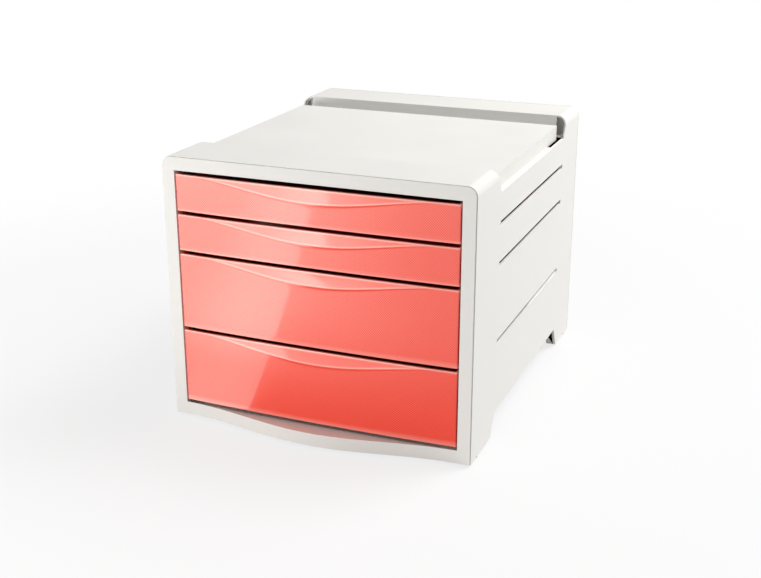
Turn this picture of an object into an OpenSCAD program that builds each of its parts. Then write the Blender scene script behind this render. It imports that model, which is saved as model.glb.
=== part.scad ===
// Desktop drawer cabinet: a moulded casing with two shallow and two deep drawers.
// Millimetres, +Z up. The origin is on the table, under the middle of the whole cabinet;
// the drawers open towards -Y.

/* [Casing] */
// Width across the side panels
casing_w = 285; // [250:1:320]
// Depth from the front face of the bezel to the back cover
casing_d = 348; // [320:1:380]
// Wall of the moulded panels
wall = 2.5; // [2:0.1:3]
// Radius of the long top corners
corner_r = 9; // [6:0.5:12]
// Width of the shadow grooves behind the bezel's face and ahead of the back cover
groove_w = 0.6; // [0.4:0.1:1.2]
// Depth of the shadow groove ahead of the back cover
groove_depth = 0.9; // [0.5:0.1:1.3]
// Fitting gap between pieces that are pushed together
fit = 0.15; // [0.1:0.05:0.3]

/* [Front bezel] */
// Whole thickness of the bezel
bezel_t = 3.2; // [2.6:0.1:4]
// Thickness of its face, ahead of the shadow groove
face_t = 0.8; // [0.6:0.1:1.2]
// How far the face lies inside the panels' outline
face_inset = 0.7; // [0.2:0.1:1.2]
// Width of the side bars
bezel_side = 11.9; // [11:0.1:15]
// Height of the top bar
bezel_top = 12.2; // [11.5:0.1:15]
// Height of the bottom bar
bezel_bottom = 12; // [9:0.1:14]
// Depth of the flange that runs round the opening
opening_flange = 12; // [10:0.5:18]
// Thickness of that flange
flange_t = 2.4; // [2:0.1:3]
// How far the bottom bar bows forwards at mid width
lip_reach = 17; // [10:0.5:22]
// Plain length of the bottom bar beyond each end of the bow
lip_margin = 10.5; // [6:0.5:20]
// Wall of the bowed bar
lip_t = 2.4; // [2:0.1:3]
// Thickness of the sill under the fronts
sill_t = 1.2; // [1:0.1:2]
// How far the opening's floor drops behind the sill
sill_drop = 4; // [2:0.5:5]

/* [Top] */
// Depth of the front deck at the top
deck_d = 57.5; // [50:0.5:62]
// Distance from the rear face to the front of the rear rail at the top
rail_d = 58.7; // [50:0.1:65]
// Height of the side windows between the deck and the rail
window_h = 20.4; // [18:0.1:24]
// How far the shelf lies below the deck and the rail
shelf_drop = 6.4; // [5:0.1:9]
// How far the shelf's sides lie inside the side panels
shelf_inset = 5.5; // [5.2:0.1:8]
// Thickness of the shelf
shelf_t = 2.2; // [1.8:0.1:3]
// Depth of the step along the shelf's front edge, where it runs under the deck
shelf_step = 0.3; // [0.2:0.1:0.6]
// Gap between the shelf's rear edge and the rear rail at the top
finger_gap = 14; // [11:0.1:20]
// Width of the openings at the ends of the rear rail's front wall
rail_mouth = 10; // [6:0.5:14]
// Wall left round those openings
mouth_edge = 1.3; // [1:0.1:1.8]
// Radius of the shelf's upright rear corners
shelf_corner_r = 5; // [3:0.5:10]
// Radius along the shelf's rear edge
shelf_edge_r = 3; // [1:0.5:4]
// Length of the shelf's side flanges, from the front of the side windows
flange_len = 170; // [120:5:185]
// Thickness of the ledges that carry the shelf
seat_t = 1.8; // [1.4:0.1:2.2]

/* [Legs and rubber feet] */
// Height of the cut-outs under the side panels
cutout_h = 20.6; // [19.8:0.1:26]
// Length of the front legs at the bottom
front_leg = 57.5; // [45:0.5:65]
// Length of the rear legs at the bottom
rear_leg = 58.7; // [45:0.1:65]
// Run of the sloped ends of the cut-outs and of the windows
end_slope = 10.1; // [5:0.1:14]
// Width of the legs
leg_w = 9.6; // [9.2:0.1:14]
// Wall of the legs inside the side panels
leg_t = 2.2; // [1.8:0.1:2.6]
// Diameter of the rubber feet
foot_dia = 8.4; // [7:0.1:8.6]
// Height of the rubber feet under the legs
foot_h = 2.2; // [1.6:0.1:4]
// Diameter of the pegs that hold the rubber feet
foot_peg_dia = 4; // [3:0.5:5]
// Gap between a rubber foot and the outer face
foot_edge = 0.6; // [0.4:0.1:0.7]
// Distance from the centre of a rubber foot to the nearer end of the casing
foot_setback = 21; // [20:0.5:30]

/* [Runners] */
// Distance from the bezel's face to the front of the slots and runners
runner_front = 67.6; // [62:0.1:75]
// Distance from the rear end of the slots and runners to the rear face
runner_rear = 68.8; // [66:0.1:80]
// Height of the slots in the side panels
slot_h = 4.3; // [2.4:0.1:4.6]
// Height of the slots' centre line above the middle of the drawer gaps
slot_rise = 1.6; // [0.8:0.05:2]
// Thickness of the runners' ledges
ledge_t = 2.2; // [1.8:0.1:2.3]
// How far the ledges reach under the trays
ledge_under = 6; // [4:0.5:9]
// Depth of the grooves that the ledges are pressed into
tongue = 1; // [0.8:0.1:1.2]
// Thickness of the tongues that enter those grooves
tongue_t = 1.4; // [1.2:0.1:1.6]
// Height of the guide ribs beside the trays
guide_h = 3; // [2:0.5:4]
// Thickness of the guide ribs
guide_t = 1.6; // [1.2:0.1:2]
// Height of the stops at the front of the runners
stop_h = 9; // [8.5:0.5:12]
// Thickness of the stops
stop_t = 3.5; // [2.5:0.5:5]

/* [Base] */
// Thickness of the base panel
base_t = 3; // [2:0.1:3]
// Height of the base panel's side flanges above its floor
base_flange = 5; // [4:0.5:8]

/* [Drawer fronts] */
// Height of the deep fronts
deep_front_h = 68.7; // [60:0.1:90]
// Height of the shallow fronts
shallow_front_h = 32.8; // [30:0.1:45]
// Gap between two fronts
drawer_gap = 3.2; // [2:0.1:3.5]
// Gap under the bottom front
bottom_gap = 2.9; // [2:0.1:4]
// Gap over the top front
top_gap = 3.1; // [2:0.1:4]
// Gap at each end of a front
side_gap = 1.4; // [0.8:0.1:1.8]
// Wall of the fronts
front_t = 2.4; // [2:0.1:2.8]
// Depth of the rim behind a front
rim_d = 8; // [7.5:0.5:10]
// Thickness of that rim
rim_t = 1.8; // [1.4:0.1:2.2]
// How far the fronts bulge at mid width
crown = 2.8; // [0:0.1:3.6]
// Height of the pull at mid width, from its flared lip to the top edge
pull_h = 12.4; // [8:0.1:15]
// How far the pull's lip stands out at mid width
pull_lip = 1.4; // [0.6:0.1:2]
// Drop from the top edge of a front to the rim behind it
rim_drop = 4; // [2:0.1:6]
// Plain length of a front beyond each end of the pull
pull_margin = 1.4; // [1:0.1:20]
// Least height of the band that the pull runs out into
pull_edge = 0.6; // [0.4:0.1:1]
// Diameter of the pegs that join a front to its tray
peg_dia = 5; // [4:0.5:6]
// Distance of the pegs from the ends of a front
peg_side = 28; // [20:1:50]
// Height of the lower pegs above the bottom edge of a front
peg_low = 15; // [13:0.5:18]
// Distance of the upper pegs below the top edge of a deep front
peg_high = 22; // [18:0.5:30]

/* [Drawer trays] */
// Wall of the trays
tray_t = 1.8; // [1.4:0.1:2.4]
// Height of the trays' floor above the bottom edge of a front
tray_raise = 4.6; // [4.4:0.1:5]
// How far the trays' rim lies below the top edge of a front
tray_below = 6.4; // [6:0.1:10]
// Gap at each side between a tray and the bezel's opening
tray_side_gap = 2.6; // [1.6:0.1:3]
// Width of the trays' outward rim
rim_w = 1; // [0.6:0.1:1.4]
// Height of that rim
rim_h = 2; // [1.5:0.5:4]
// Gap between the trays and the inside of the back cover
back_gap = 8; // [6:0.5:14]
// Radius of the trays' upright corners
tray_corner_r = 6; // [3:0.5:10]
// Play between a tray and what it slides on
slide_gap = 0.15; // [0.1:0.05:0.3]
// Length of the lugs that meet the stops
lug_len = 6; // [4:0.5:8]
// Height of the lugs
lug_h = 4; // [3:0.5:4.5]
// Reach of the lugs
lug_w = 4.4; // [4:0.1:4.6]
// Distance from a tray's rear face to its lugs
lug_rear = 6; // [4:0.5:10]

/* [Back cover] */
// Depth of the rounded rim of the back cover
back_rim = 9; // [7:0.5:11]
// Depth of the spigots that enter the casing
spigot_d = 9; // [6:0.5:10]
// Wall of the spigots
spigot_t = 2.2; // [1.6:0.1:2.6]

/* [Hidden] */
$fn = 64;

shell_color = [0.93, 0.92, 0.89];
front_color = [0.97, 0.36, 0.30];
tray_color = [0.94, 0.47, 0.42];
rubber_color = [0.13, 0.13, 0.13];

// Bottom edges of the fronts, counted up from the bottom drawer
bottom_z = bezel_bottom + bottom_gap;
well_z = bezel_bottom - sill_drop;      // floor of the opening, behind the sill
lower_z = bottom_z + deep_front_h + drawer_gap;
upper_z = lower_z + deep_front_h + drawer_gap;
top_z = upper_z + shallow_front_h + drawer_gap;
opening_z = top_z + shallow_front_h + top_gap;
casing_h = opening_z + bezel_top;

opening_w = casing_w - 2 * bezel_side;
front_w = opening_w - 2 * side_gap;
front_y = (lip_reach - casing_d) / 2;   // the bezel's face in the cabinet's frame
panel_end = casing_d - back_rim;        // where the panels meet the back cover
inner_x = casing_w / 2 - wall;          // inner face of a side panel
lip_half = casing_w / 2 - lip_margin;
pull_half = front_w / 2 - pull_margin;

panel_y = face_t + groove_w;            // where the panels begin behind the bezel's face
window_z = casing_h - window_h;         // top edge of the side panels
shelf_z = casing_h - shelf_drop;        // top face of the shelf
shelf_x = casing_w / 2 - shelf_inset;   // outer face of the shelf's sides
rail_y = casing_d - rail_d;             // front edge of the rear rail
shelf_y = deck_d - 6;                   // front end of the shelf, under the deck
shelf_open = deck_d + end_slope * shelf_drop / window_h + fit;   // where it comes out from under it
shelf_end = rail_y - finger_gap;
seat_z = window_z + fit;                // underside of the ledges that carry the shelf
seat_x = shelf_x - shelf_t - fit;       // they pass between the shelf's sides
runner_end = casing_d - runner_rear;

floor_z = bottom_z + tray_raise;        // top of the base panel
base_z = floor_z - base_t;
leg_z = base_z - fit;                   // top of the legs' inner walls
tray_x = opening_w / 2 - tray_side_gap; // outer edge of a tray's rim
tray_front = rim_d + fit;
tray_end = casing_d - wall - back_gap;
guide_x = tray_x + 1;                   // inner face of the guide ribs
edge_steps = 40;                        // steps along each bowed or crowned outline
pull_steps = [0, 0.1, 0.2, 0.3, 0.4, 1]; // heights of the rows of faces on a pull, as shares of it
tiny = 0.01;

// Cosine bell: 1 in the middle, 0 at u = -1 and 1, level at all three
function bell(u) = abs(u) >= 1 ? 0 : (1 + cos(180 * u)) / 2;
function lip_at(x) = lip_reach * bell(x / lip_half);
// Where the bow is d deep, as a distance from the middle
function lip_x(d) = lip_half * acos(2 * d / lip_reach - 1) / 180;
function crown_at(x) = crown * (1 - pow(2 * x / front_w, 2));
function pull_at(x) = max(pull_edge, pull_h * bell(x / pull_half));
// How far the pull stands out: most at its lip (t = 0), then it flares in until t = 0.4
function flare_at(x, t) = pull_lip * sqrt(bell(x / pull_half)) * pow(max(0, 1 - t / 0.4), 2);

// Children are drawn in casing coordinates: Y runs back from the bezel's face
module in_casing() {
    translate([0, front_y, foot_h]) children();
}

// A flat outline in X and Z, given depth from y0 back to y1
module slab(y0, y1) {
    translate([0, y1, 0]) rotate([90, 0, 0]) linear_extrude(y1 - y0) children();
}

// Outline w wide, from z0 up to z1, with round top corners
module arch(w, z0, z1, r) {
    translate([-w / 2, z0]) square([w, z1 - r - z0]);
    translate([-w / 2 + r, z0]) square([w - 2 * r, z1 - z0]);
    for (side = [-1, 1]) translate([side * (w / 2 - r), z1 - r]) circle(r);
}

// The casing's own outline, drawn in by the amount inset
module casing_arch(inset, z0) {
    arch(casing_w - 2 * inset, z0, casing_h - inset, max(corner_r - inset, 1));
}

// Hoop that enters the casing: it follows the inside of the panels down to z0
module spigot(y0, y1, z0) {
    difference() {
        slab(y0, y1) casing_arch(wall + fit, z0);
        slab(y0 - 1, y1 + 1) casing_arch(wall + fit + spigot_t, z0 - 1);
    }
}

// Strip between the bowed line, drawn in by inset, and y1
module bow_plan(inset, y1) {
    half = inset > 0 ? lip_x(inset + 0.5) : lip_half;
    polygon(concat(
        [for (i = [0 : edge_steps]) let (x = half * (2 * i / edge_steps - 1)) [x, inset - lip_at(x)]],
        [[half, y1], [-half, y1]]
    ));
}

// Floor of the opening from the sill's curved back to the end of the flange
module sill_plan() {
    half = opening_w / 2;
    y1 = bezel_t + opening_flange + 1;
    polygon(concat(
        [for (i = [0 : edge_steps]) let (x = half * (2 * i / edge_steps - 1))
            [x, sill_t - max(0, crown_at(x))]],
        [[half, y1], [-half, y1]]
    ));
}

module front_bezel() {
    color(shell_color) in_casing() difference() {
        union() {
            slab(0, face_t) casing_arch(face_inset, 0);
            slab(face_t - tiny, bezel_t) casing_arch(wall + fit, 0);
            slab(bezel_t - tiny, bezel_t + opening_flange) translate([0, well_z - flange_t])
                translate([-opening_w / 2 - flange_t, 0])
                    square([opening_w + 2 * flange_t, opening_z - well_z + 2 * flange_t]);
            spigot(bezel_t - tiny, bezel_t + spigot_d, floor_z + base_flange + 2);
            linear_extrude(bezel_bottom) bow_plan(0, bezel_t / 2);
        }
        slab(-1, bezel_t + opening_flange + 1) translate([-opening_w / 2, bezel_bottom])
            square([opening_w, opening_z - bezel_bottom]);
        // behind the sill, which follows the fronts, the opening's floor lies lower
        translate([0, 0, well_z]) linear_extrude(sill_drop + 1) sill_plan();
        // the bowed bar is open underneath
        translate([0, 0, -1]) linear_extrude(bezel_bottom - lip_t + 1) intersection() {
            bow_plan(lip_t, 0);
            translate([-casing_w, -casing_d - crown]) square([2 * casing_w, casing_d]);
        }
    }
}

// Outline in Y and Z, given width from x0 to x1
module side_slab(x0, x1) {
    translate([x0, 0, 0]) rotate([90, 0, 90]) linear_extrude(x1 - x0) children();
}

// The space between the legs, open at the bottom
module cutout_outline() {
    y0 = front_leg;
    y1 = casing_d - rear_leg;
    k = end_slope / cutout_h;
    polygon([[y0 - k, -1], [y0 + end_slope, cutout_h], [y1 - end_slope, cutout_h], [y1 + k, -1]]);
}

// Leg outline from the casing's end to the sloped edge of the cut-out, drawn in by t
module leg_outlines(t) {
    k = end_slope / cutout_h;
    rear = casing_d - rear_leg;
    polygon([[bezel_t + opening_flange + t, t], [front_leg - t + k * t, t],
             [front_leg - t + k * leg_z, leg_z + (t > 0 ? 1 : 0)],
             [bezel_t + opening_flange + t, leg_z + (t > 0 ? 1 : 0)]]);
    polygon([[rear + t - k * t, t], [panel_end - spigot_d - t, t],
             [panel_end - spigot_d - t, leg_z + (t > 0 ? 1 : 0)],
             [rear + t - k * leg_z, leg_z + (t > 0 ? 1 : 0)]]);
}

// Children are set at the centres of the two rubber feet of the right side
module foot_places() {
    for (y = [foot_setback, casing_d - foot_setback])
        translate([casing_w / 2 - foot_edge - foot_dia / 2, y, 0]) children();
}

// Children are set at the height of each runner's ledge top
module runner_heights() {
    for (z = [lower_z, upper_z, top_z]) translate([0, 0, z + tray_raise]) children();
}

module side_panel() {
    difference() {
        union() {
            side_slab(inner_x, casing_w / 2) translate([panel_y, 0]) square([panel_end - panel_y, window_z]);
            difference() {
                side_slab(casing_w / 2 - leg_w, casing_w / 2) leg_outlines(0);
                side_slab(casing_w / 2 - leg_w - 1, inner_x) leg_outlines(leg_t);
            }
        }
        side_slab(inner_x - 1, casing_w / 2 + 1) cutout_outline();
        // through slots at the drawer gaps
        for (z = [lower_z, upper_z, top_z])
            translate([inner_x - 1, runner_front, z - drawer_gap / 2 + slot_rise - slot_h / 2])
                cube([wall + 2, runner_end - runner_front, slot_h]);
        // grooves for the runners' tongues
        runner_heights() translate([inner_x - 1, runner_front - fit, -tongue_t - fit])
            cube([1 + tongue, runner_end - runner_front + 2 * fit, tongue_t + 2 * fit]);
        foot_places() translate([0, 0, -1]) cylinder(d = foot_peg_dia, h = leg_t + 2);
    }
}

module right_side_panel() {
    color(shell_color) in_casing() side_panel();
}

module left_side_panel() {
    color(shell_color) in_casing() mirror([1, 0, 0]) side_panel();
}

module base_panel() {
    y0 = bezel_t + opening_flange + fit;
    y1 = panel_end - spigot_d - fit;
    half = inner_x - fit;
    color(shell_color) in_casing() {
        translate([-half, y0, base_z]) cube([2 * half, y1 - y0, base_t]);
        // front flange behind the bezel's bottom bar
        translate([-opening_w / 2, y0, well_z - flange_t])
            cube([opening_w, wall, base_z - well_z + flange_t + tiny]);
        for (side = [0, 1]) mirror([side, 0, 0]) {
            translate([half - wall, y0, floor_z - tiny]) cube([wall, y1 - y0, base_flange]);
            translate([guide_x, runner_front, floor_z - tiny])
                cube([guide_t, runner_end - runner_front, guide_h]);
            translate([guide_x, runner_front, floor_z - tiny]) cube([wall + guide_t, stop_t, stop_h]);
        }
    }
}

// Laps behind the side panels from y0 to y1, to place a top piece
module laps(y0, y1) {
    for (side = [0, 1]) mirror([side, 0, 0]) {
        translate([inner_x - fit - spigot_t, y0, window_z - 8]) cube([spigot_t, y1 - y0, 8 + wall]);
        translate([inner_x - fit - tiny, y0, window_z + fit])
            cube([fit + 0.5, y1 - y0, wall - fit]);
    }
}

// Side outline of the deck: it slopes down to the front end of the window, drawn in by t
module deck_outline(t) {
    k = end_slope / window_h;
    polygon([[panel_y - t, window_z - t], [deck_d + end_slope - t + k * t, window_z - t],
             [deck_d - t, casing_h], [panel_y - t, casing_h]]);
}

// Side outline of the rail, likewise
module rail_outline(t) {
    k = end_slope / window_h;
    polygon([[rail_y - end_slope + t - k * t, window_z - t], [panel_end + t, window_z - t],
             [panel_end + t, casing_h], [rail_y + t, casing_h]]);
}

module front_deck() {
    half = casing_w / 2;
    color(shell_color) in_casing() {
        difference() {
            intersection() {
                slab(0, casing_d) casing_arch(0, window_z);
                side_slab(-half, half) deck_outline(0);
            }
            intersection() {
                slab(0, casing_d) casing_arch(wall, window_z - wall);
                side_slab(-half, half) deck_outline(wall);
            }
            // room for the shelf under the rear edge
            translate([-shelf_x - fit, deck_d - wall - 1, window_z - 1])
                cube([2 * (shelf_x + fit), end_slope + wall + 2, shelf_z - window_z + fit + 1]);
        }
        laps(bezel_t + spigot_d + 1, shelf_y - fit);
        // ledge under the front end of the shelf
        translate([-inner_x + fit + tiny, shelf_y - 5, seat_z])
            cube([2 * (inner_x - fit - tiny), 5 - fit, seat_t]);
        translate([-seat_x, shelf_y - fit - tiny, seat_z]) cube([2 * seat_x, 10, seat_t]);
    }
}

// Top outline of the shelf with round rear corners, drawn in by t
module shelf_plan(t) {
    r = shelf_corner_r - t;
    translate([-shelf_x + t, shelf_y + t]) square([2 * (shelf_x - t), shelf_end - r - shelf_y - 2 * t]);
    translate([-shelf_x + t + r, shelf_y + t])
        square([2 * (shelf_x - t - r), shelf_end - shelf_y - 2 * t]);
    for (side = [-1, 1]) translate([side * (shelf_x - t - r), shelf_end - t - r]) circle(r);
}

// Side outline of the shelf from z0 up, with its rear edge rounded
module shelf_outline(z0) {
    r = shelf_edge_r;
    translate([shelf_y - 1, z0]) square([shelf_end + 1 - r - shelf_y, shelf_z - z0]);
    translate([shelf_y - 1, z0]) square([shelf_end + 1 - shelf_y, shelf_z - r - z0]);
    translate([shelf_end - r, shelf_z - r]) circle(r);
}

module top_shelf() {
    foot_z = window_z - shelf_t;
    color(shell_color) in_casing() {
        difference() {
            intersection() {
                translate([0, 0, foot_z]) linear_extrude(shelf_z - foot_z) shelf_plan(0);
                side_slab(-casing_w / 2, casing_w / 2) shelf_outline(foot_z - 1);
            }
            translate([0, 0, foot_z - 1]) linear_extrude(shelf_z - shelf_t - foot_z + 1)
                shelf_plan(shelf_t);
            // its front edge is stepped down under the deck
            translate([-casing_w / 2, shelf_y - 1, shelf_z - shelf_step])
                cube([casing_w, shelf_open - shelf_y + 1, shelf_step + 1]);
            // the ends stand on the deck's and the rail's ledges
            translate([-seat_x - fit, shelf_y - 1, foot_z - 1])
                cube([2 * (seat_x + fit), shelf_end - shelf_y + 2, seat_z + seat_t - foot_z + 1]);
            // the sides end at the same height behind their flanges
            translate([-casing_w / 2, runner_front + flange_len, foot_z - 1])
                cube([casing_w, casing_d, shelf_t + 1]);
        }
        for (side = [0, 1]) mirror([side, 0, 0])
            translate([shelf_x - tiny, shelf_y, foot_z])
                cube([inner_x - fit - shelf_x + tiny, runner_front + flange_len - shelf_y, shelf_t]);
    }
}

module rear_rail() {
    half = casing_w / 2;
    color(shell_color) in_casing() {
        difference() {
            intersection() {
                slab(0, casing_d) casing_arch(0, window_z);
                side_slab(-half, half) rail_outline(0);
            }
            intersection() {
                slab(0, casing_d) casing_arch(wall, window_z - wall);
                side_slab(-half, half) rail_outline(wall);
            }
            // the front wall is open at both ends
            for (side = [0, 1]) mirror([side, 0, 0]) intersection() {
                slab(0, casing_d) casing_arch(mouth_edge, window_z - 1);
                side_slab(half - rail_mouth, half) translate([rail_y, 0])
                    polygon([[-end_slope - 1, window_z - 1], [-end_slope + wall + 1, window_z - 1],
                             [wall + 1, casing_h], [-1, casing_h]]);
            }
        }
        laps(rail_y - end_slope + wall + 6, panel_end - spigot_d - 1);
        // floor of the finger gap, and ledge under the rear end of the shelf
        translate([-seat_x, shelf_end - shelf_t - 5, seat_z])
            cube([2 * seat_x, rail_y - end_slope + wall - shelf_end + shelf_t + 5, seat_t]);
    }
}

// Rounded rim as a stack of outlines that close in along a quarter circle
module cover_form(t) {
    steps = 6;
    hull() {
        slab(panel_end + groove_w, panel_end + groove_w + tiny) casing_arch(t, t, $fn = 32);
        for (i = [0 : steps]) let (a = 90 * i / steps, r = back_rim - groove_w - 1 - t)
            translate([0, casing_d - t - r + r * sin(a) - tiny, 0])
                slab(0, tiny) casing_arch(t + r * (1 - cos(a)), t + r * (1 - cos(a)), $fn = 32);
    }
}

module back_cover() {
    color(shell_color) in_casing() {
        difference() {
            union() {
                cover_form(0);
                slab(panel_end, panel_end + groove_w + 1) casing_arch(groove_depth, groove_depth);
            }
            cover_form(wall);
            slab(panel_end - 1, panel_end + groove_w + 1.1) casing_arch(wall + fit + spigot_t, wall);
        }
        spigot(panel_end - spigot_d, panel_end + 1, floor_z + base_flange + 2);
    }
}

// Right-hand runner: a ledge pressed into the side panel, with a guide rib and a stop
module runner(front_z) {
    len = runner_end - runner_front;
    inner = tray_x - ledge_under;
    translate([0, runner_front, front_z + tray_raise]) {
        translate([inner, 0, -ledge_t]) cube([inner_x - fit - inner, len, ledge_t]);
        translate([inner_x - fit - tiny, 0, -tongue_t]) cube([tongue + tiny, len, tongue_t]);
        translate([guide_x, 0, -tiny]) cube([guide_t, len, guide_h]);
        translate([guide_x, 0, -tiny]) cube([wall + guide_t, stop_t, stop_h]);
        translate([inner_x - fit - wall, 0, -tiny]) cube([wall, len, guide_h + 4]);
    }
}

module right_runner(front_z) {
    color(shell_color) in_casing() runner(front_z);
}

module left_runner(front_z) {
    color(shell_color) in_casing() mirror([1, 0, 0]) runner(front_z);
}

module rubber_foot(side, y) {
    color(rubber_color) in_casing()
        translate([side * (casing_w / 2 - foot_edge - foot_dia / 2), y, 0]) {
            translate([0, 0, -foot_h]) cylinder(d = foot_dia, h = foot_h);
            cylinder(d = foot_peg_dia - 2 * fit, h = leg_t);
        }
}

// Skin of a drawer front h high: two rows of faces up to the pull's lip, the rest above it
module front_skin(h) {
    rows = len(pull_steps) + 2;
    per_side = (edge_steps + 1) * rows;
    function height_at(x, j) = j == 0 ? 0
        : j == 1 ? h - pull_at(x) - 0.8 * flare_at(x, 0) - tiny
        : h - pull_at(x) * (1 - pull_steps[j - 2]);
    function face_at(x, j) = -crown_at(x) - (j < 2 ? 0 : flare_at(x, pull_steps[j - 2]));
    function at(i, j, back) = (back ? per_side : 0) + i * rows + j;
    points = [for (back = [0, 1], i = [0 : edge_steps], j = [0 : rows - 1])
        let (x = front_w * (i / edge_steps - 0.5)) [x, face_at(x, j) + back * front_t, height_at(x, j)]];
    faces = concat(
        [for (i = [0 : edge_steps - 1], j = [0 : rows - 2]) each [
            [at(i, j, false), at(i, j + 1, false), at(i + 1, j + 1, false)],
            [at(i, j, false), at(i + 1, j + 1, false), at(i + 1, j, false)],
            [at(i, j, true), at(i + 1, j + 1, true), at(i, j + 1, true)],
            [at(i, j, true), at(i + 1, j, true), at(i + 1, j + 1, true)]]],
        [for (i = [0 : edge_steps - 1]) each [
            [at(i, 0, false), at(i + 1, 0, false), at(i + 1, 0, true)],
            [at(i, 0, false), at(i + 1, 0, true), at(i, 0, true)],
            [at(i, rows - 1, false), at(i + 1, rows - 1, true), at(i + 1, rows - 1, false)],
            [at(i, rows - 1, false), at(i, rows - 1, true), at(i + 1, rows - 1, true)]]],
        [for (j = [0 : rows - 2]) each [
            [at(0, j, false), at(0, j, true), at(0, j + 1, true)],
            [at(0, j, false), at(0, j + 1, true), at(0, j + 1, false)],
            [at(edge_steps, j, false), at(edge_steps, j + 1, true), at(edge_steps, j, true)],
            [at(edge_steps, j, false), at(edge_steps, j + 1, false), at(edge_steps, j + 1, true)]]]
    );
    polyhedron(points, faces, convexity = 4);
}

// Peg centres of a front h high
function peg_rows(h) = h > peg_low + peg_high + peg_dia ? [peg_low, h - peg_high] : [peg_low];

module peg_places(h) {
    for (side = [-1, 1], z = peg_rows(h))
        translate([side * (front_w / 2 - peg_side), 0, z]) rotate([-90, 0, 0]) children();
}

// Rim behind the skin of a front: it follows the crown in plan and ends below the top edge
module front_rim(h) {
    difference() {
        linear_extrude(h - rim_drop) polygon(concat(
            [for (i = [0 : edge_steps]) let (x = front_w * (i / edge_steps - 0.5))
                [x, front_t - 0.1 - crown_at(x)]],
            [[front_w / 2, rim_d], [-front_w / 2, rim_d]]
        ));
        translate([-front_w / 2 + rim_t, -crown - 1, rim_t])
            cube([front_w - 2 * rim_t, crown + rim_d + 2, h - rim_drop - 2 * rim_t]);
    }
}

module drawer_front(front_z, h) {
    color(front_color) in_casing() translate([0, 0, front_z]) {
        front_skin(h);
        front_rim(h);
        peg_places(h) cylinder(d = peg_dia, h = tray_front + tray_t);
    }
}

// Plan of a tray, drawn in by t, with round rear corners
module tray_plan(half, t) {
    r = tray_corner_r - t;
    translate([-half + t, tray_front + t])
        square([2 * (half - t), tray_end - tray_front - 2 * t - r]);
    translate([-half + t + r, tray_front + t])
        square([2 * (half - t - r), tray_end - tray_front - 2 * t]);
    for (side = [-1, 1]) translate([side * (half - t - r), tray_end - t - r]) circle(r);
}

module drawer_tray(front_z, h) {
    body_x = tray_x - rim_w;
    z0 = front_z + tray_raise + slide_gap;
    z1 = front_z + h - tray_below;
    color(tray_color) in_casing() difference() {
        union() {
            translate([0, 0, z0]) linear_extrude(z1 - z0) tray_plan(body_x, 0);
            translate([-tray_x, tray_front, z1 - rim_h])
                cube([2 * tray_x, tray_end - tray_front - tray_corner_r, rim_h]);
            for (side = [0, 1]) mirror([side, 0, 0])
                translate([body_x - tiny, tray_end - lug_rear - lug_len, front_z + tray_raise + guide_h + 1])
                    cube([lug_w + tiny, lug_len, lug_h]);
        }
        translate([0, 0, z0 + tray_t]) linear_extrude(z1 - z0) tray_plan(body_x, tray_t);
        translate([0, 0, front_z]) peg_places(h) translate([0, 0, tray_front - 1])
            cylinder(d = peg_dia + 2 * fit, h = tray_t + 2);
    }
}

module top_drawer_front() { drawer_front(top_z, shallow_front_h); }
module upper_drawer_front() { drawer_front(upper_z, shallow_front_h); }
module lower_drawer_front() { drawer_front(lower_z, deep_front_h); }
module bottom_drawer_front() { drawer_front(bottom_z, deep_front_h); }
module top_drawer_tray() { drawer_tray(top_z, shallow_front_h); }
module upper_drawer_tray() { drawer_tray(upper_z, shallow_front_h); }
module lower_drawer_tray() { drawer_tray(lower_z, deep_front_h); }
module bottom_drawer_tray() { drawer_tray(bottom_z, deep_front_h); }

front_bezel();
left_side_panel();
right_side_panel();
base_panel();
front_deck();
top_shelf();
rear_rail();
back_cover();
left_runner(top_z);  // left_top_runner
left_runner(upper_z);  // left_upper_runner
left_runner(lower_z);  // left_lower_runner
right_runner(top_z);  // right_top_runner
right_runner(upper_z);  // right_upper_runner
right_runner(lower_z);  // right_lower_runner
rubber_foot(-1, foot_setback);  // front_left_foot
rubber_foot(1, foot_setback);  // front_right_foot
rubber_foot(-1, casing_d - foot_setback);  // rear_left_foot
rubber_foot(1, casing_d - foot_setback);  // rear_right_foot
top_drawer_front();
upper_drawer_front();
lower_drawer_front();
bottom_drawer_front();
top_drawer_tray();
upper_drawer_tray();
lower_drawer_tray();
bottom_drawer_tray();
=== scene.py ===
"""Desktop drawer cabinet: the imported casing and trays, with moulded drawer fronts,
plastic finishes, a white studio and a camera. Metres; the drawers open towards -Y."""

import math

import bpy
import numpy as np
from mathutils import Matrix


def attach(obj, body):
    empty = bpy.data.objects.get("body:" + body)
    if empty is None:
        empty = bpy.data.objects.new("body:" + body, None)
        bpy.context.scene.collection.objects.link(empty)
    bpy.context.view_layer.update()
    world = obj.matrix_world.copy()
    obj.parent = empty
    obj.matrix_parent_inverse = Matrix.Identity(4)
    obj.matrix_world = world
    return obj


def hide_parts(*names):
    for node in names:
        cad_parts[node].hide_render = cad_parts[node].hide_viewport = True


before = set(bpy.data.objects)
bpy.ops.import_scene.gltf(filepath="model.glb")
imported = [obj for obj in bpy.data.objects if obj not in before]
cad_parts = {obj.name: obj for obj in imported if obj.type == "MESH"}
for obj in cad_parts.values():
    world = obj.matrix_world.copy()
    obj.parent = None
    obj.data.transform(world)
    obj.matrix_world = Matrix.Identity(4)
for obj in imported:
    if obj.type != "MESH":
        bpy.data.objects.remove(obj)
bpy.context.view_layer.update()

MM = 0.001

# Casing, in millimetres: the bezel's face is at FACE_Y and the legs stand FOOT_H up
FACE_Y = -165.5
FOOT_H = 2.2

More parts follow.
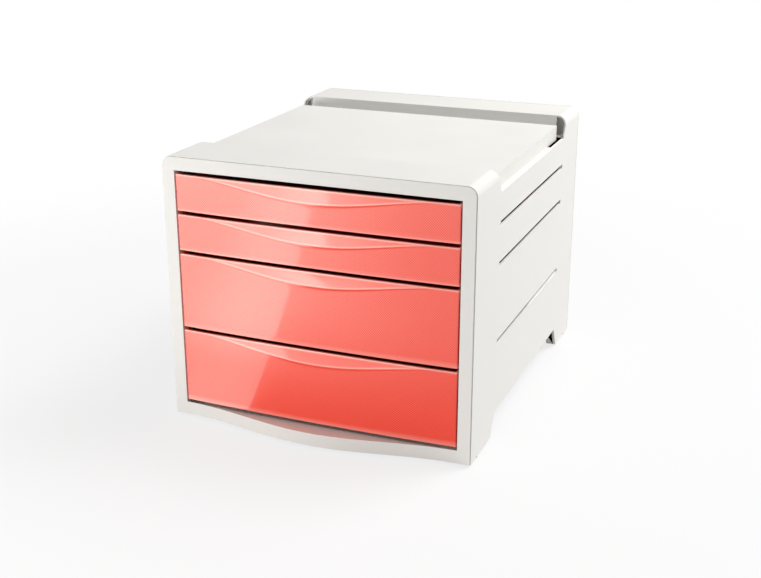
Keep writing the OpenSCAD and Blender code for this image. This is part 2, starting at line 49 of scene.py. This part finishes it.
# Drawer fronts: bottom edge above the casing's underside, and height
FRONTS = {
    "bottom": (14.9, 68.7),
    "lower": (86.8, 68.7),
    "upper": (158.7, 32.8),
    "top": (194.7, 32.8),
}
FRONT_W = 258.4
FRONT_T = 2.4  # wall of the skin
RIM_D = 8.0  # how far the rim reaches back
RIM_T = 1.8
RIM_DROP = 4.0  # the rim's top lies this far below the top edge
CROWN = 2.8  # bulge at mid width
PULL_H = 12.4  # height of the pull at mid width, from its flared lip up
PULL_LIP = 1.4  # how far that lip stands out
PULL_HALF = FRONT_W / 2 - 1.4
PULL_EDGE = 0.6
EDGE_R = 0.7  # rounding of a front's edges
LIP_SPAN = 0.9  # height over which the lip is rounded
POCKET_FRONT = 281.5  # pockets at the ends of the rear rail: from the casing's face back
POCKET_REAR = 297.0
POCKET_Z = 224.8


# ---------------------------------------------------------------- small helpers


def mesh_object(name, points, quads, materials=(), loops=()):
    """A mesh object from arrays of points in millimetres and of four-cornered faces."""
    mesh = bpy.data.meshes.new(name)
    faces = [list(q) for q in np.asarray(quads).tolist()] + [list(f) for f in loops]
    mesh.from_pydata((np.asarray(points) * MM).tolist(), [], faces)
    mesh.validate()
    obj = bpy.data.objects.new(name, mesh)
    bpy.context.scene.collection.objects.link(obj)
    for material in materials:
        mesh.materials.append(material)
    return obj


def smooth(obj, degrees=32):
    """Shades smoothly, apart from edges sharper than the angle."""
    mesh = obj.data
    mesh.polygons.foreach_set("use_smooth", np.ones(len(mesh.polygons), bool))
    mesh.set_sharp_from_angle(angle=math.radians(degrees))


def shown(obj):
    """The object's mesh with its modifiers applied, as a new mesh."""
    graph = bpy.context.evaluated_depsgraph_get()
    return bpy.data.meshes.new_from_object(obj.evaluated_get(graph))


def welded(obj):
    """Joins points that lie together."""
    weld = obj.modifiers.new("weld", "WELD")
    weld.merge_threshold = 0.002 * MM
    mesh = shown(obj)
    obj.modifiers.clear()
    obj.data = mesh
    return mesh


def merged_copy(name, node):
    """A copy of a CAD node with its loose triangles joined into one closed surface."""
    obj = bpy.data.objects.new(name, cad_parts[node].data.copy())
    bpy.context.scene.collection.objects.link(obj)
    obj.data.materials.clear()
    mesh = welded(obj)
    for layer in list(mesh.attributes):
        if layer.name == "custom_normal":
            mesh.attributes.remove(layer)
    return obj


def flat_faces(obj, degrees=0.6):
    """Joins triangles that lie in one plane into one face."""
    bpy.context.view_layer.objects.active = obj
    flat = obj.modifiers.new("flat", "DECIMATE")
    flat.decimate_type = "DISSOLVE"
    flat.angle_limit = math.radians(degrees)
    mesh = shown(obj)
    obj.modifiers.clear()
    obj.data = mesh


def eased(obj, radius, material, slot, body, *nodes):
    """Rounds the edges of a copy of CAD nodes and lets it stand for them."""
    bevel = obj.modifiers.new("eased edges", "BEVEL")
    bevel.limit_method = "ANGLE"
    bevel.angle_limit = math.radians(38)
    bevel.width = radius * MM
    bevel.segments = 3
    bevel.use_clamp_overlap = True
    bevel.miter_outer = "MITER_ARC"
    mesh = shown(obj)
    obj.modifiers.clear()
    obj.data = mesh
    mesh.materials.clear()
    mesh.materials.append(material)
    smooth(obj, 34)
    # large faces keep their own normals, so that only the rounded edges shade
    level = obj.modifiers.new("level faces", "WEIGHTED_NORMAL")
    level.mode = "FACE_AREA"
    level.keep_sharp = True
    mesh = shown(obj)
    obj.modifiers.clear()
    obj.data = mesh
    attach(obj, body)
    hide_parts(*nodes)
    return obj


# ---------------------------------------------------------------- node groups


def new_group(name, inputs, outputs):
    """An empty shader node group with the named sockets, and its input and output nodes."""
    group = bpy.data.node_groups.new(name, "ShaderNodeTree")
    for label, kind, value in inputs:
        socket = group.interface.new_socket(label, in_out="INPUT", socket_type=kind)
        socket.default_value = value
    for label, kind in outputs:
        group.interface.new_socket(label, in_out="OUTPUT", socket_type=kind)
    return group, group.nodes.new("NodeGroupInput"), group.nodes.new("NodeGroupOutput")


def maths(tree, operation, a, b=None):
    """One Math node; a and b are sockets or numbers."""
    node = tree.nodes.new("ShaderNodeMath")
    node.operation = operation
    for socket, value in zip(node.inputs, (a, b)):
        if isinstance(value, bpy.types.NodeSocket):
            tree.links.new(value, socket)
        elif value is not None:
            socket.default_value = value
    return node.outputs[0]


def spark_grain():
    """Moulded grain: fine bumps, with patches a little smoother and rougher than the rest."""
    group, start, end = new_group(
        "moulded grain",
        [
            ("Grain size", "NodeSocketFloat", 0.8),
            ("Smoothest", "NodeSocketFloat", 0.3),
            ("Roughest", "NodeSocketFloat", 0.4),
        ],
        [("Height", "NodeSocketFloat"), ("Roughness", "NodeSocketFloat"), ("Tone", "NodeSocketFloat")],
    )
    tree = group
    place = tree.nodes.new("ShaderNodeTexCoord")
    grain = tree.nodes.new("ShaderNodeTexNoise")
    grain.inputs["Detail"].default_value = 2.0
    tree.links.new(place.outputs["Object"], grain.inputs["Vector"])
    tree.links.new(
        maths(tree, "DIVIDE", 1000.0, start.outputs["Grain size"]), grain.inputs["Scale"]
    )
    patches = tree.nodes.new("ShaderNodeTexNoise")
    patches.inputs["Scale"].default_value = 14.0
    patches.inputs["Detail"].default_value = 3.0
    tree.links.new(place.outputs["Object"], patches.inputs["Vector"])
    spread = tree.nodes.new("ShaderNodeMapRange")
    spread.inputs["From Min"].default_value = 0.3
    spread.inputs["From Max"].default_value = 0.7
    tree.links.new(patches.outputs["Fac"], spread.inputs["Value"])
    tree.links.new(start.outputs["Smoothest"], spread.inputs["To Min"])
    tree.links.new(start.outputs["Roughest"], spread.inputs["To Max"])
    tree.links.new(grain.outputs["Fac"], end.inputs["Height"])
    tree.links.new(spread.outputs["Result"], end.inputs["Roughness"])
    tree.links.new(patches.outputs["Fac"], end.inputs["Tone"])
    return group


def diamond_mesh():
    """Crossed diagonal ridges in the XZ plane: half the sum of two sines, one in x + z and one
    in x - z, brought to 0 to 1. It fades out where Area is 0."""
    group, start, end = new_group(
        "diamond mesh",
        [("Pitch", "NodeSocketFloat", 2.0), ("Area", "NodeSocketFloat", 1.0)],
        [("Height", "NodeSocketFloat"), ("Line", "NodeSocketFloat")],
    )
    tree = group
    place = tree.nodes.new("ShaderNodeTexCoord")
    split = tree.nodes.new("ShaderNodeSeparateXYZ")
    tree.links.new(place.outputs["Object"], split.inputs[0])
    turns = maths(tree, "DIVIDE", 2000.0 * math.pi, start.outputs["Pitch"])
    waves = []
    for operation in ("ADD", "SUBTRACT"):
        along = maths(tree, operation, split.outputs["X"], split.outputs["Z"])
        waves.append(maths(tree, "SINE", maths(tree, "MULTIPLY", along, turns)))
    ridge = maths(tree, "MULTIPLY_ADD", maths(tree, "ADD", waves[0], waves[1]), 0.25)
    ridge.node.inputs[2].default_value = 0.5
    tree.links.new(maths(tree, "MULTIPLY", ridge, start.outputs["Area"]), end.inputs["Height"])
    centred = maths(tree, "SUBTRACT", ridge, 0.5)
    line = maths(tree, "MULTIPLY_ADD", centred, start.outputs["Area"])
    line.node.inputs[2].default_value = 0.5
    tree.links.new(line, end.inputs["Line"])
    return group


GRAIN = spark_grain()
DIAMONDS = diamond_mesh()


def place_group(tree, group, **values):
    """A group node with its inputs set by name."""
    node = tree.nodes.new("ShaderNodeGroup")
    node.node_tree = group
    for label, value in values.items():
        node.inputs[label.replace("_", " ")].default_value = value
    return node


def new_material(name):
    """A node material and its Principled shader."""
    material = bpy.data.materials.new(name)
    material.use_nodes = True
    return material, material.node_tree, material.node_tree.nodes["Principled BSDF"]


def bumped(tree, height, depth_mm, strength=1.0):
    """The normal of a bump whose full height is the depth."""
    bump = tree.nodes.new("ShaderNodeBump")
    bump.inputs["Strength"].default_value = strength
    bump.inputs["Distance"].default_value = depth_mm * MM
    tree.links.new(height, bump.inputs["Height"])
    return bump.outputs["Normal"]


def two_tones(tree, factor, first, second):
    """A colour between two, by a factor."""
    mix = tree.nodes.new("ShaderNodeMix")
    mix.data_type = "RGBA"
    mix.inputs[6].default_value = (*first, 1)
    mix.inputs[7].default_value = (*second, 1)
    tree.links.new(factor, mix.inputs[0])
    return mix.outputs[2]


def casing_plastic():
    """Off-white moulded plastic with a fine satin grain."""
    material, tree, shader = new_material("casing plastic")
    grain = place_group(tree, GRAIN, Grain_size=0.7, Smoothest=0.34, Roughest=0.42)
    tree.links.new(
        two_tones(tree, grain.outputs["Tone"], (0.765, 0.752, 0.715), (0.79, 0.777, 0.74)),
        shader.inputs["Base Color"],
    )
    tree.links.new(grain.outputs["Roughness"], shader.inputs["Roughness"])
    tree.links.new(bumped(tree, grain.outputs["Height"], 0.012), shader.inputs["Normal"])
    shader.inputs["IOR"].default_value = 1.5
    return material


def front_plastic():
    """Glossy red plastic: a fine diamond mesh under a smooth clear skin."""
    material, tree, shader = new_material("drawer front plastic")
    area = tree.nodes.new("ShaderNodeAttribute")
    area.attribute_name = "mesh_area"
    mesh = place_group(tree, DIAMONDS, Pitch=2.19)
    tree.links.new(area.outputs["Fac"], mesh.inputs["Area"])
    # painted highlight: an attribute mixes a paler red in along the rounded edges and the pull's lip
    edge = tree.nodes.new("ShaderNodeAttribute")
    edge.attribute_name = "painted_edge_highlight"
    body = two_tones(tree, mesh.outputs["Line"], (0.80, 0.0, 0.0), (1.0, 0.12, 0.06))
    pale = tree.nodes.new("ShaderNodeMix")
    pale.data_type = "RGBA"
    pale.inputs[7].default_value = (0.98, 0.40, 0.33, 1)
    tree.links.new(edge.outputs["Fac"], pale.inputs[0])
    tree.links.new(body, pale.inputs[6])
    tree.links.new(pale.outputs[2], shader.inputs["Base Color"])
    shader.inputs["Roughness"].default_value = 0.27
    tree.links.new(bumped(tree, mesh.outputs["Height"], 0.03), shader.inputs["Normal"])
    shader.inputs["IOR"].default_value = 1.5
    skin = maths(tree, "MULTIPLY_ADD", mesh.outputs["Line"], 1.2)
    skin.node.inputs[2].default_value = 0.3
    tree.links.new(skin, shader.inputs["Coat Weight"])
    shader.inputs["Coat Roughness"].default_value = 0.06
    shader.inputs["Coat IOR"].default_value = 1.5
    return material


def tray_plastic():
    """The same red, plain and a little clearer, as the trays are moulded."""
    material, tree, shader = new_material("drawer tray plastic")
    grain = place_group(tree, GRAIN, Grain_size=1.2, Smoothest=0.16, Roughest=0.24)
    tree.links.new(
        two_tones(tree, grain.outputs["Tone"], (0.82, 0.10, 0.07), (0.87, 0.125, 0.09)),
        shader.inputs["Base Color"],
    )
    tree.links.new(grain.outputs["Roughness"], shader.inputs["Roughness"])
    tree.links.new(bumped(tree, grain.outputs["Height"], 0.006), shader.inputs["Normal"])
    shader.inputs["IOR"].default_value = 1.5
    return material


def foot_rubber():
    """Black rubber with a dull, slightly patchy surface."""
    material, tree, shader = new_material("foot rubber")
    grain = place_group(tree, GRAIN, Grain_size=0.5, Smoothest=0.6, Roughest=0.8)
    tree.links.new(
        two_tones(tree, grain.outputs["Tone"], (0.02, 0.02, 0.02), (0.04, 0.038, 0.036)),
        shader.inputs["Base Color"],
    )
    tree.links.new(grain.outputs["Roughness"], shader.inputs["Roughness"])
    tree.links.new(bumped(tree, grain.outputs["Height"], 0.03), shader.inputs["Normal"])
    return material


CASING = casing_plastic()
FRONT_RED = front_plastic()
TRAY_RED = tray_plastic()
RUBBER = foot_rubber()


# ---------------------------------------------------------------- casing


def rail_pockets():
    """The floor and rear wall of a shallow pocket behind each opening in the rear rail. They
    keep the drawers out of sight."""
    top = POCKET_Z + 1.4
    floor = [(129, POCKET_Z), (139.9, POCKET_Z), (139.9, top), (129, top)]
    rear = [(129, POCKET_Z), (140.6, POCKET_Z), (140.9, 237.6), (137.8, 242.2), (129, 243.2)]
    walls = []
    for side in (-1, 1):
        for outline, front in ((floor, POCKET_FRONT), (rear, POCKET_REAR - 1.4)):
            count = len(outline)
            points = [
                (side * x * MM, (FACE_Y + y) * MM, z * MM)
                for y in (front, POCKET_REAR)
                for x, z in outline
            ]
            faces = [tuple(range(count)), tuple(range(2 * count - 1, count - 1, -1))]
            for k in range(count):
                after = (k + 1) % count
                faces.append((after, k, count + k, count + after))
            if side < 0:
                faces = [face[::-1] for face in faces]
            mesh = bpy.data.meshes.new("pocket")
            mesh.from_pydata(points, [], faces)
            wall = bpy.data.objects.new("pocket", mesh)
            bpy.context.scene.collection.objects.link(wall)
            walls.append(wall)
    return walls


def sleeve():
    """Side panels, deck and rail as one moulding: their closed surfaces are united, so that
    no joint shows on the outside, and the edges are rounded."""
    obj = merged_copy("casing_sleeve", "left_side_panel")
    others = []
    for node in ("right_side_panel", "front_deck", "rear_rail"):
        other = merged_copy("join_" + node, node)
        unite = obj.modifiers.new("unite " + node, "BOOLEAN")
        unite.operation = "UNION"
        unite.solver = "EXACT"
        unite.object = other
        others.append(other)
    for wall in rail_pockets():
        unite = obj.modifiers.new("unite " + wall.name, "BOOLEAN")
        unite.operation = "UNION"
        unite.solver = "EXACT"
        unite.object = wall
        others.append(wall)
    mesh = shown(obj)
    obj.modifiers.clear()
    obj.data = mesh
    for other in others:
        bpy.data.objects.remove(other)
    flat_faces(obj)
    eased(obj, 0.45, CASING, "casing", "casing",
          "left_side_panel", "right_side_panel", "front_deck", "rear_rail")


def plain_piece(name, node, radius, material, slot, body="casing"):
    """One CAD node with rounded edges."""
    obj = merged_copy(name, node)
    flat_faces(obj)
    return eased(obj, radius, material, slot, body, node)


sleeve()
plain_piece("bezel", "front_bezel", 0.4, CASING, "casing")
plain_piece("shelf", "top_shelf", 0.9, CASING, "casing")
plain_piece("rear_cover", "back_cover", 0.25, CASING, "casing")
plain_piece("floor_panel", "base_panel", 0.35, CASING, "casing")
for side in ("left", "right"):
    for row in ("top", "upper", "lower"):
        node = f"{side}_{row}_runner"
        plain_piece(node + "_strip", node, 0.3, CASING, "casing")
    for end in ("front", "rear"):
        node = f"{end}_{side}_foot"
        plain_piece(node + "_pad", node, 0.4, RUBBER, "rubber")


# ---------------------------------------------------------------- drawers


def bell(u):
    """Cosine bell: 1 at 0, and 0 at -1 and 1."""
    return np.where(np.abs(u) < 1, (1 + np.cos(np.pi * u)) / 2, 0.0)


def lip_line(x, height):
    """Height of the pull's lip: the top edge less a cosine bell in x."""
    return height - np.maximum(PULL_EDGE, PULL_H * bell(x / PULL_HALF))


def flared_face(x, z, height):
    """How far the face lies back at (x, z): minus a crown that is a parabola in x, minus the
    pull's lip. The lip is widest at the lip line. Above it narrows as (1 - t)^1.3, where t is
    the share of the way up to the top edge. Below it narrows evenly within 1.6 of its width."""
    lip = lip_line(x, height)
    wide = PULL_LIP * np.sqrt(bell(x / PULL_HALF))
    above = np.maximum(0, 1 - (z - lip) / (height - lip)) ** 1.3
    below = np.maximum(0, 1 - (lip - z) / (1.6 * wide + 0.001))
    return -CROWN * (1 - (2 * x / FRONT_W) ** 2) - wide * np.where(z >= lip, above, below)


def rounded_face(x, z, height):
    """The face averaged over a short height, which rounds the lip."""
    steps = np.linspace(-0.5, 0.5, 7) * LIP_SPAN
    weights = np.cos(np.pi * steps / LIP_SPAN * 0.9)
    spans = [w * flared_face(x, np.minimum(z + s, height), height) for w, s in zip(weights, steps)]
    return sum(spans) / weights.sum()


def drawer_front(name, base, height):
    """A front as one closed surface: rows run from the rim's back edge at the bottom, round the
    bottom edge, up the face, over the pull's lip, round the top edge, down behind the skin and
    back along the rim, then return inside. The columns run across the width, and the first
    and last ones turn round the front's upright edges."""
    turn = np.radians(np.linspace(0, 90, 6))
    half = FRONT_W / 2
    # columns: x, how far the edge rounding has turned, and whether the inside is closed
    inner = half - RIM_T
    across = inner * np.sin(np.linspace(-1, 1, 97) * np.pi / 2 * 0.999) / np.sin(np.pi / 2 * 0.999)
    edge_x = half - EDGE_R + EDGE_R * np.sin(turn)
    x = np.concatenate([-edge_x[::-1], [-inner], across, [inner], edge_x])
    back = np.concatenate([EDGE_R * (1 - np.cos(turn))[::-1], np.zeros(99), EDGE_R * (1 - np.cos(turn))])
    closed = np.concatenate([np.ones(7, bool), np.zeros(97, bool), np.ones(7, bool)])
    x_col, back_col = x[:, None], back[:, None]
    lip = np.minimum(lip_line(x_col, height), height - EDGE_R - 0.8)
    # rows on the face
    below = np.array([9, 5, 3, 2.2, 1.7, 1.3, 1.0, 0.75, 0.5, 0.25, 0.0])[None, :]
    low = EDGE_R + (lip - below[0, 0] - EDGE_R) * np.linspace(0, 1, 6)[None, :-1] ** 1.5
    above = np.array([0.02, 0.045, 0.07, 0.1, 0.14, 0.18, 0.23, 0.28, 0.34, 0.41, 0.55, 0.7, 0.83, 0.93, 1])
    high = lip + (height - EDGE_R - lip) * above[None, :]
    z_face = np.concatenate([low, lip - below, high], axis=1)
    y_face = rounded_face(x_col, z_face, height) + back_col
    rows_of = z_face.shape[1]
    # rounded bottom and top edges: quarter circles from the face back
    arc = np.radians(np.linspace(90, 0, 5))[None, :-1]
    z_low = z_face[:, :1] - EDGE_R * np.sin(arc)
    y_low = y_face[:, :1] + EDGE_R * (1 - np.cos(arc))
    arc = arc[:, ::-1]
    z_top = height - EDGE_R * (1 - np.sin(arc)) + 0 * x_col
    y_top = y_face[:, -1:] + EDGE_R * (1 - np.cos(arc))
    z_low[:, 0] = 0
    z_top[:, -1] = height
    rim = np.full_like(x_col, RIM_D)
    flat = np.zeros_like(x_col)
    behind = np.where(closed[:, None], RIM_D, rounded_face(x_col, height - EDGE_R, height) + FRONT_T)
    shoulder = np.where(closed[:, None], height, height - RIM_DROP)
    inside_z = np.clip(z_face[:, ::-4], RIM_T, height - RIM_DROP - RIM_T)
    inside_y = np.minimum(rounded_face(x_col, z_face, height)[:, ::-4] + FRONT_T, RIM_D - 0.6)
    inside_y = np.where(closed[:, None], RIM_D, inside_y)
    y = np.concatenate([rim, y_low, y_face, y_top, behind, behind, rim, rim, inside_y, rim], axis=1)
    z = np.concatenate(
        [flat, z_low, z_face, z_top, flat + height, shoulder, shoulder, shoulder - RIM_T, inside_z,
         flat + RIM_T], axis=1)
    columns, rows = y.shape
    points = np.stack([np.broadcast_to(x_col, y.shape), FACE_Y + y, FOOT_H + base + z], axis=2)
    i, j = np.meshgrid(np.arange(columns - 1), np.arange(rows), indexing="ij")
    k = (j + 1) % rows
    quads = np.stack([i * rows + j, (i + 1) * rows + j, (i + 1) * rows + k, i * rows + k], axis=2)
    first = range(rows)
    last = range(columns * rows - 1, (columns - 1) * rows - 1, -1)
    obj = mesh_object(name, points.reshape(-1, 3), quads.reshape(-1, 4), [FRONT_RED], [first, last])
    # where the diamond mesh is moulded, and painted highlights: the rounded top and bottom edges and the pull's lip
    # get a paler red where they would catch the light
    start = 1 + y_low.shape[1]
    from_lip = z_face - lip_line(x_col, height)
    wide = np.sqrt(bell(x_col / PULL_HALF))
    pale = 0.6 * np.exp(-(((from_lip - 0.2) / np.where(from_lip > 0.2, 1.0, 0.6)) ** 2)) * np.minimum(1, 1.6 * wide)
    inset = np.minimum(np.minimum(z_face, height - z_face), half - np.abs(x_col))
    covered = np.zeros(y.shape)
    covered[:, start : start + rows_of] = np.clip((inset - 1.2) * 2, 0, 1) * (1 - pale) * np.where(
        from_lip > 0, 0.6, 1)
    edges = np.zeros(y.shape)
    edges[:, 1:start] = 0.5
    edges[:, start : start + rows_of] = np.maximum(
        pale, np.maximum(np.exp(-(((height - z_face) / 1.1) ** 2)), 0.6 * np.exp(-((z_face / 1.6) ** 2))))
    edges[:, start + rows_of : start + rows_of + 4] = 1
    for label, values in (("mesh_area", covered), ("painted_edge_highlight", edges)):
        layer = obj.data.attributes.new(label, "FLOAT", "POINT")
        layer.data.foreach_set("value", values.ravel())
    welded(obj)
    smooth(obj, 40)
    return obj


for row, (base, height) in FRONTS.items():
    front = drawer_front(row + "_front_moulding", base, height)
    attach(front, row + "_drawer")
    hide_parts(row + "_drawer_front")
    plain_piece(row + "_tray_moulding", row + "_drawer_tray", 0.5, TRAY_RED, "drawer_tray", row + "_drawer")


# ---------------------------------------------------------------- studio


def studio_floor():
    """A wide white floor. Seen directly or in a reflection it is mostly its own white, so that
    only the object's soft shadow shows on it."""
    half = 30000
    corners = [(-half, -half, 0), (half, -half, 0), (half, half, 0), (-half, half, 0)]
    floor = mesh_object("studio_floor", corners, [(0, 1, 2, 3)])
    material = bpy.data.materials.new("studio floor")
    material.use_nodes = True
    tree = material.node_tree
    tree.nodes.clear()
    white = tree.nodes.new("ShaderNodeBsdfDiffuse")
    white.inputs["Color"].default_value = (0.66, 0.66, 0.66, 1)
    glow = tree.nodes.new("ShaderNodeEmission")
    glow.inputs["Color"].default_value = (1, 1, 1, 1)
    paths = tree.nodes.new("ShaderNodeLightPath")
    seen = maths(tree, "MAXIMUM", paths.outputs["Is Camera Ray"], paths.outputs["Is Glossy Ray"])
    seen = maths(tree, "MAXIMUM", seen, paths.outputs["Is Transmission Ray"])
    place = tree.nodes.new("ShaderNodeTexCoord")
    far = tree.nodes.new("ShaderNodeVectorMath")
    far.operation = "LENGTH"
    tree.links.new(place.outputs["Object"], far.inputs[0])
    share = tree.nodes.new("ShaderNodeMapRange")
    share.interpolation_type = "SMOOTHSTEP"
    share.inputs["From Min"].default_value = 0.35
    share.inputs["From Max"].default_value = 0.9
    share.inputs["To Min"].default_value = 0.78
    share.inputs["To Max"].default_value = 1.0
    tree.links.new(far.outputs["Value"], share.inputs["Value"])
    mix = tree.nodes.new("ShaderNodeMixShader")
    tree.links.new(maths(tree, "MULTIPLY", seen, share.outputs["Result"]), mix.inputs[0])
    tree.links.new(white.outputs[0], mix.inputs[1])
    tree.links.new(glow.outputs[0], mix.inputs[2])
    out = tree.nodes.new("ShaderNodeOutputMaterial")
    tree.links.new(mix.outputs[0], out.inputs["Surface"])
    floor.data.materials.append(material)


def reflector():
    """A bright card that lies on the floor in front of the cabinet and turns up at its far end.
    Only reflections see it. It is brightest to the left of a slanting line, whose reflection
    crosses the glossy fronts, and dims close to the cabinet."""
    side, near, far, top = 1600, -168, -1500, 1700
    corners = [(-side, far, 1), (side, far, 1), (side, near, 1), (-side, near, 1),
               (-side, far, top), (side, far, top)]
    card = mesh_object("reflector_card", corners, [(0, 1, 2, 3), (1, 0, 4, 5)])
    material = bpy.data.materials.new("reflector card")
    material.use_nodes = True
    tree = material.node_tree
    tree.nodes.clear()
    place = tree.nodes.new("ShaderNodeTexCoord")
    split = tree.nodes.new("ShaderNodeSeparateXYZ")
    tree.links.new(place.outputs["Object"], split.inputs[0])

    def ramp(value, start, end, low, high):
        node = tree.nodes.new("ShaderNodeMapRange")
        node.interpolation_type = "SMOOTHSTEP"
        for label, number in (("From Min", start), ("From Max", end), ("To Min", low), ("To Max", high)):
            node.inputs[label].default_value = number
        tree.links.new(value, node.inputs["Value"])
        return node.outputs["Result"]

    left = ramp(split.outputs["Y"], -0.27, -0.40, 2.9, 5.6)
    right = ramp(split.outputs["Y"], -0.20, -0.48, 0.4, 2.5)
    # the distance to the right of the slanting line
    line = maths(tree, "ADD", maths(tree, "MULTIPLY", split.outputs["Y"], -0.363), 0.0128)
    across = maths(tree, "ADD", split.outputs["X"], line)
    fade = ramp(across, -0.17, -0.05, 0.65, 1.0)
    step = maths(tree, "GREATER_THAN", across, 0.0)
    far_off = ramp(split.outputs["Y"], -0.65, -1.3, 1.0, 1.5)
    dim = ramp(across, 0.0, 0.24, 0.92, 0.5)
    parts = (maths(tree, "MULTIPLY", left, fade), maths(tree, "MULTIPLY", right, dim))
    level = tree.nodes.new("ShaderNodeMix")
    tree.links.new(step, level.inputs[0])
    for number, value in enumerate(parts):
        tree.links.new(value, level.inputs[2 + number])
    glow = tree.nodes.new("ShaderNodeEmission")
    glow.inputs["Color"].default_value = (0.6, 1, 0.93, 1)
    tree.links.new(maths(tree, "MULTIPLY", level.outputs[0], far_off), glow.inputs["Strength"])
    out = tree.nodes.new("ShaderNodeOutputMaterial")
    tree.links.new(glow.outputs[0], out.inputs["Surface"])
    card.data.materials.append(material)
    card.visible_camera = card.visible_diffuse = card.visible_shadow = False
    card.visible_transmission = False
    # only the glossy fronts reflect it
    fronts = bpy.data.collections.new("glossy_fronts")
    for row in FRONTS:
        fronts.objects.link(bpy.data.objects[row + "_front_moulding"])
    card.light_linking.receiver_collection = fronts


def softbox(name, place, target, size, power, in_reflections=True):
    """An area light, wide and high as given, that points at the target."""
    light = bpy.data.lights.new(name, "AREA")
    light.shape = "RECTANGLE"
    light.size, light.size_y = size
    light.energy = power
    obj = bpy.data.objects.new(name, light)
    bpy.context.scene.collection.objects.link(obj)
    obj.visible_camera = False
    obj.visible_glossy = in_reflections
    away = np.array(place, float) - np.array(target, float)
    away /= np.linalg.norm(away)
    right = np.cross((0, 0, 1) if abs(away[2]) < 0.99 else (0, 1, 0), away)
    right /= np.linalg.norm(right)
    turned = np.stack([right, np.cross(away, right), away], axis=1)
    obj.matrix_world = Matrix.Translation(place) @ Matrix(turned.tolist()).to_4x4()


studio_floor()
reflector()
# the main light stands behind the cabinet, to its right, and leaves faces that look forwards in shade
softbox("rear_softbox", (1.12, 0.82, 2.12), (0, 0, 0.15), (1.2, 1.2), 68)
# a low one in front to the left lights the bezel and the fronts, and passes under the top
softbox("low_front_softbox", (-0.5, -0.95, 0.13), (0, -0.165, 0.115), (0.6, 0.18), 6.2, False)

world = bpy.data.worlds.new("studio")
bpy.context.scene.world = world
world.use_nodes = True
world.node_tree.nodes["Background"].inputs["Color"].default_value = (1, 1, 1, 1)
tree = world.node_tree
paths = tree.nodes.new("ShaderNodeLightPath")
level = tree.nodes.new("ShaderNodeMapRange")
level.inputs["To Min"].default_value = 0.34
level.inputs["To Max"].default_value = 1.0
tree.links.new(paths.outputs["Is Camera Ray"], level.inputs["Value"])
tree.links.new(level.outputs["Result"], tree.nodes["Background"].inputs["Strength"])


# ---------------------------------------------------------------- camera

CAMERA_PLACE = (0.4134, -1.0391, 0.4906)
CAMERA_YAW = -21.97
CAMERA_PITCH = 19.87
FOCAL_PIXELS = 1211.8
FRAME_PIXELS = 761

lens = bpy.data.cameras.new("camera")
lens.sensor_width = 36
lens.lens = FOCAL_PIXELS * 36 / FRAME_PIXELS
lens.dof.use_dof = False
camera = bpy.data.objects.new("camera", lens)
bpy.context.scene.collection.objects.link(camera)
camera.location = CAMERA_PLACE
camera.rotation_euler = (math.radians(90 - CAMERA_PITCH), 0, math.radians(-CAMERA_YAW))
bpy.context.scene.camera = camera
bpy.context.scene.view_settings.view_transform = "Standard"
